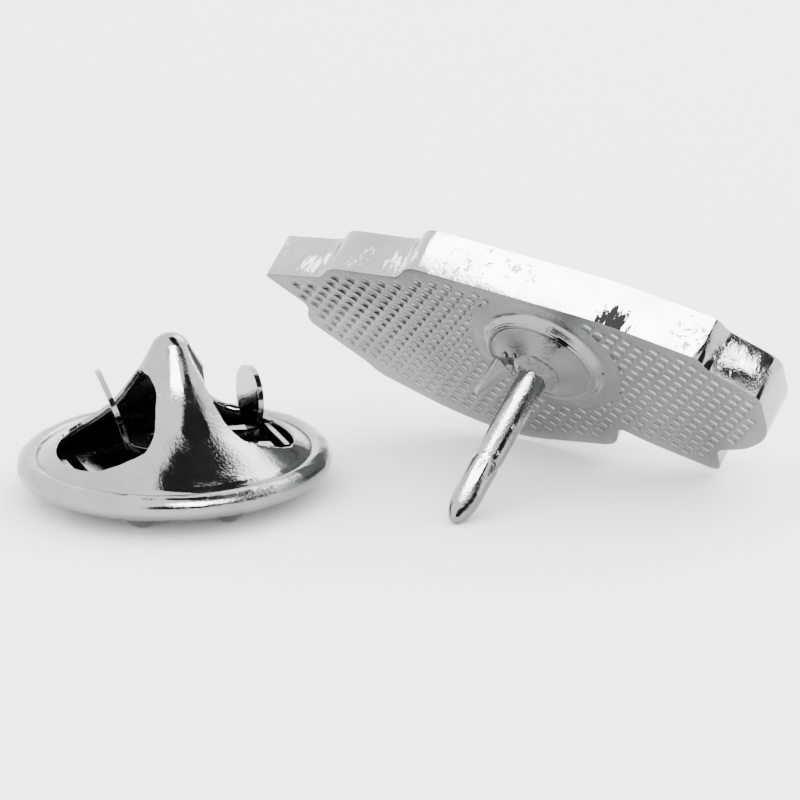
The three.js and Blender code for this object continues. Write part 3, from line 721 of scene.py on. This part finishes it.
def window_outline():
    """The teardrop of the two windows, as (y, z) from one foot over the top to the other."""
    drop = WINDOW_TOP - WINDOW_WIDEST_Z
    side = [
        (WINDOW_FOOT, 0),
        (WINDOW_FOOT, 0.76 * WINDOW_WIDEST_Z),
        (0.93 * WINDOW_WIDEST, 0.88 * WINDOW_WIDEST_Z),
        (WINDOW_WIDEST, WINDOW_WIDEST_Z),
        (0.81 * WINDOW_WIDEST, WINDOW_TOP - 0.73 * drop),
        (0.52 * WINDOW_WIDEST, WINDOW_TOP - 0.42 * drop),
        (0.35 * WINDOW_WIDEST, WINDOW_TOP - 0.17 * drop),
        (0.18 * WINDOW_WIDEST, WINDOW_TOP - 0.04 * drop),
    ]
    side = rounded(side)
    return side + [(0, WINDOW_TOP)] + [(-y, z) for y, z in reversed(side)]


def rounded(points):
    """Cuts every corner of an open line twice, which leaves it smooth. Its ends stay."""
    for _ in range(2):
        cut = [points[0]]
        for (ax, ay), (bx, by) in zip(points, points[1:]):
            cut.append((0.75 * ax + 0.25 * bx, 0.75 * ay + 0.25 * by))
            cut.append((0.25 * ax + 0.75 * bx, 0.25 * ay + 0.75 * by))
        points = cut + [points[-1]]
    return points


def window_plan():
    """The windows' outline seen from above, as (x, y), closed."""
    reach = WINDOW_REACH
    half = [
        (0, -WINDOW_FOOT),
        (0.77 * reach, -WINDOW_FOOT),
        (reach, -0.4 * WINDOW_FOOT),
        (reach, 0.35 * WINDOW_WIDEST),
        (0.77 * reach, WINDOW_WIDEST),
        (0, WINDOW_WIDEST),
    ]
    half = rounded(half)
    return half + [(-x, y) for x, y in reversed(half)]


def inside(point, outline):
    """Whether a point lies inside a closed outline."""
    x, y = point
    within = False
    for (ax, ay), (bx, by) in zip(outline, outline[1:] + outline[:1]):
        if (ay > y) != (by > y) and x < (bx - ax) * (y - ay) / (by - ay) + ax:
            within = not within
    return within


CUT_MARGIN = 0.3  # how far past a stretch of outline, and to its sides, faces are cut
CUT_WIDTH = 0.4


def cut_along(mesh, outline, pick, stand):
    """Cuts the faces near each stretch of an outline along the plane through that stretch.

    pick drops a point to the outline's two axes, and stand lifts one back into space."""
    for start, end in zip(outline, outline[1:]):
        a, b = Vector(start), Vector(end)
        way = b - a
        length = way.length
        if length < MERGE:
            continue
        way /= length
        near = []
        for face in mesh.faces:
            spot = pick(face.calc_center_median()) - a
            in_reach = -CUT_MARGIN < spot.dot(way) < length + CUT_MARGIN
            if in_reach and abs(spot.cross(way)) < CUT_WIDTH:
                near.append(face)
        if near:
            bmesh.ops.bisect_plane(
                mesh,
                geom=with_edges(near),
                dist=MERGE,
                plane_co=stand(a),
                plane_no=stand(Vector((-way.y, way.x))),
            )


def make_cap():
    mesh = spun(cap_profile(), AROUND)
    if sum(f.normal.z for f in mesh.faces) < 0:
        bmesh.ops.reverse_faces(mesh, faces=mesh.faces)
    arch = [(y + WINDOW_SHIFT, z) for y, z in window_outline()]
    plan = [(x, y + WINDOW_SHIFT) for x, y in window_plan()]
    cut_along(mesh, arch, lambda at: at.yz, lambda at: Vector((0, at.x, at.y)))
    cut_along(mesh, plan + plan[:1], lambda at: at.xy, lambda at: Vector((at.x, at.y, 0)))
    gone = []
    for face in mesh.faces:
        middle = face.calc_center_median()
        if inside(middle.yz, arch) and inside(middle.xy, plan):
            gone.append(face)
    bmesh.ops.delete(mesh, geom=gone, context="FACES")
    # The sheet's inner face takes the second metal, the painted-shade copy of the plate.
    metals = [BELL_PLATE, SHADED_INSIDE]
    piece(
        "bell_cap", mesh, CLUTCH, "clutch", "clutch_cap", metals, sheet=CAP_SHEET
    )


# ---- Clutch base plate --------------------------------------------------------------------------


BASE_TOP = BASE_UNDERSIDE + BASE_SHEET
# Waves of the uneven roll: how many a millimetre, and how deep.
ROLL_WAVES = [(0.9, 0.02), (2.4, 0.018)]


def base_profile():
    centre = (ROLL_CENTRE_R, ROLL_CENTRE_Z)
    profile = [(BASE_HOLE_R, BASE_UNDERSIDE + FUNNEL_HEIGHT), (FUNNEL_R, BASE_UNDERSIDE)]
    profile += arc(centre, ROLL_R, -math.pi / 2, ROLL_END, 28)
    profile += arc(centre, ROLL_INNER, ROLL_END, -math.pi / 2, 18)
    return profile + [(FUNNEL_R, BASE_TOP), (BASE_HOLE_R, BASE_TOP + FUNNEL_HEIGHT)]


def shade_inside(mesh):
    """Gives the base plate's upper face, under the cap, the second metal, the rougher copy of the
    plate kept apart as painted shade.
    """
    for face in mesh.faces:
        spot = face.calc_center_median()
        if spot.z > BASE_TOP - 0.05 and spot.to_2d().length < ROLL_CENTRE_R - 0.3:
            face.material_index = 1


def unsettle_roll(mesh):
    """Makes the roll a little uneven, and keeps it inside its nominal radius."""
    for vert in mesh.verts:
        if vert.co.to_2d().length > ROLL_CENTRE_R:
            for waves, depth in ROLL_WAVES:
                vert.co += noise.noise_vector(vert.co * waves) * depth
            past = vert.co.to_2d().length / (CLUTCH_R - ROLL_INSIDE)
            if past > 1:
                vert.co.x /= past
                vert.co.y /= past


def add_foot(mesh, angle):
    place = Vector((FOOT_CIRCLE * math.cos(angle), FOOT_CIRCLE * math.sin(angle), FOOT_R))
    ball = bmesh.ops.create_uvsphere(mesh, u_segments=32, v_segments=20, radius=FOOT_R)["verts"]
    bmesh.ops.translate(mesh, verts=ball, vec=place)
    for vert in ball:
        vert.co.z = min(vert.co.z, BASE_TOP - FOOT_SINK)


def make_base():
    mesh = spun(base_profile(), AROUND, closed=True)
    shade_inside(mesh)
    unsettle_roll(mesh)
    for i in range(FOOT_COUNT):
        add_foot(mesh, FOOT_TURN + i / FOOT_COUNT * 2 * math.pi)
    metals = [ROLLED_PLATE, SHADED_INSIDE]
    piece("rolled_base", mesh, CLUTCH, "clutch", "clutch_base_plate", metals)


# ---- Clutch spring ------------------------------------------------------------------------------


def make_springs():
    for name, body, node in (
        ("spring_strip", "clutch", "spring_base_strip"),
        ("left_spring_wing", "left_wing", "left_wing_leaf"),
        ("right_spring_wing", "right_wing", "right_wing_leaf"),
    ):
        mesh = node_copy(node, CLUTCH)
        piece(name, mesh, CLUTCH, body, node, [SPRING_PLATE], bevel=SPRING_EDGE)


make_plaque()
make_post()
make_pad()
make_solder()
make_root_solder()
make_cap()
make_base()
make_springs()

# ---- Table, light and camera --------------------------------------------------------------------


TABLE_SIZE = 3
TABLE_WHITE = 0.93
CARD_BLACK = 0.004
CARD_HEIGHT = 0.3
FRONT_CARD_REACH = 0.5
FRONT_CARD_FOOT = 0.001
FRONT_CARD_HEIGHT = 0.35
FRONT_CARD_TURNS = range(-20, 81, 10)  # degrees to the viewer's right
STUDIO_WHITE = 4.2

# The overhead card's corners, as slopes to the right and away from over the clutch.
OVERHEAD_CARD = [
    (-0.1, 0.45),
    (-0.12, 0.16),
    (-0.05, -0.03),
    (0.15, -0.27),
    (0.4, -0.52),
    (0.63, -0.62),
    (2.3, -0.66),
    (2.3, -0.44),
    (1.05, -0.3),
    (1.08, -0.05),
    (0.73, 0.05),
    (0.56, 0.16),
    (0.6, 0.37),
    (0.5, 0.53),
    (0.33, 0.56),
]

# Name, place, size, power, and the pieces that it lights if not all.
LAMPS = [
    ("nose_light", (0.1, -0.32, 0.29), 0.22, 6.0, ["bell_cap", "rolled_base"]),
    ("fill", (0.25, 0.3, 0.35), 0.3, 2.5, []),
    ("wall_light", (0.02, 0.004, 0.2), 0.18, 4.0, ["cast_plaque", "nail"]),
]


def plain(name, value, roughness):
    """A plain grey material."""
    material = bpy.data.materials.new(name)
    material.use_nodes = True
    surface = material.node_tree.nodes["Principled BSDF"]
    surface.inputs["Base Color"].default_value = (value, value, value, 1)
    surface.inputs["Roughness"].default_value = roughness
    return material


def make_table():
    bpy.ops.mesh.primitive_plane_add(size=TABLE_SIZE, location=(0, 0, 0))
    table = bpy.context.object
    table.name = "table"
    table.data.materials.append(plain("table_white", TABLE_WHITE, 0.7))


def flag(name, corners):
    """A black card that only reflections see."""
    mesh = bmesh.new()
    mesh.faces.new([mesh.verts.new(corner) for corner in corners])
    data = bpy.data.meshes.new(name)
    mesh.to_mesh(data)
    mesh.free()
    data.materials.append(plain(name + "_black", CARD_BLACK, 1))
    card = bpy.data.objects.new(name, data)
    bpy.context.scene.collection.objects.link(card)
    card.visible_camera = False
    card.visible_diffuse = False
    card.visible_shadow = False


def make_flags():
    """A level card over the clutch, and a bent row of upright ones round the viewer."""
    over = clutch_centre
    corners = [(over.x + x * CARD_HEIGHT, over.y + y * CARD_HEIGHT) for x, y in OVERHEAD_CARD]
    flag("overhead_flag", [(x, y, CARD_HEIGHT) for x, y in corners])
    feet = []
    for turn in FRONT_CARD_TURNS:
        x = FRONT_CARD_REACH * math.sin(math.radians(turn))
        y = -FRONT_CARD_REACH * math.cos(math.radians(turn))
        feet.append((x, y, FRONT_CARD_FOOT))
    heads = [(x, y, FRONT_CARD_HEIGHT) for x, y, _ in feet]
    for i in range(len(feet) - 1):
        flag(f"front_flag_{i}", [feet[i], feet[i + 1], heads[i + 1], heads[i]])


def make_lamp(name, place, size, power, receivers):
    lamp = bpy.data.lights.new(name, "AREA")
    lamp.size = size
    lamp.energy = power
    obj = bpy.data.objects.new(name, lamp)
    obj.location = place
    obj.rotation_euler = (-Vector(place)).to_track_quat("-Z", "Y").to_euler()
    bpy.context.scene.collection.objects.link(obj)
    if receivers:
        lit = bpy.data.collections.new(name + "_reaches")
        for receiver in receivers:
            lit.objects.link(bpy.data.objects[receiver])
        obj.light_linking.receiver_collection = lit


def make_light():
    world = bpy.data.worlds.new("studio")
    bpy.context.scene.world = world
    world.use_nodes = True
    world.node_tree.nodes["Background"].inputs["Color"].default_value = (1, 1, 1, 1)
    world.node_tree.nodes["Background"].inputs["Strength"].default_value = STUDIO_WHITE
    for lamp in LAMPS:
        make_lamp(*lamp)


CAMERA_ELEVATION = math.radians(18.5)
CAMERA_ROLL = math.radians(-1.5)
CAMERA_DISTANCE = 286
CAMERA_LENS = 356.6
CAMERA_SENSOR = 36
AIM_RIGHT = 8.103  # from the clutch's middle on the table to the middle of the view
AIM_UP = 3.227


def make_camera():
    sine, cosine = math.sin(CAMERA_ELEVATION), math.cos(CAMERA_ELEVATION)
    right = Vector((1, 0, 0))
    up = Vector((0, sine, cosine))
    back = Vector((0, -cosine, sine))
    turned_right = right * math.cos(CAMERA_ROLL) + up * math.sin(CAMERA_ROLL)
    turned_up = up * math.cos(CAMERA_ROLL) - right * math.sin(CAMERA_ROLL)
    aim = clutch_centre + (turned_right * AIM_RIGHT + turned_up * AIM_UP) * MM
    lens = bpy.data.cameras.new("camera")
    lens.lens = CAMERA_LENS
    lens.sensor_width = CAMERA_SENSOR
    lens.clip_start = 0.01
    camera = bpy.data.objects.new("camera", lens)
    turn = Matrix((turned_right, turned_up, back)).transposed().to_4x4()
    camera.matrix_world = Matrix.Translation(aim + back * CAMERA_DISTANCE * MM) @ turn
    bpy.context.scene.collection.objects.link(camera)
    bpy.context.scene.camera = camera


make_table()
make_light()
make_flags()
make_camera()
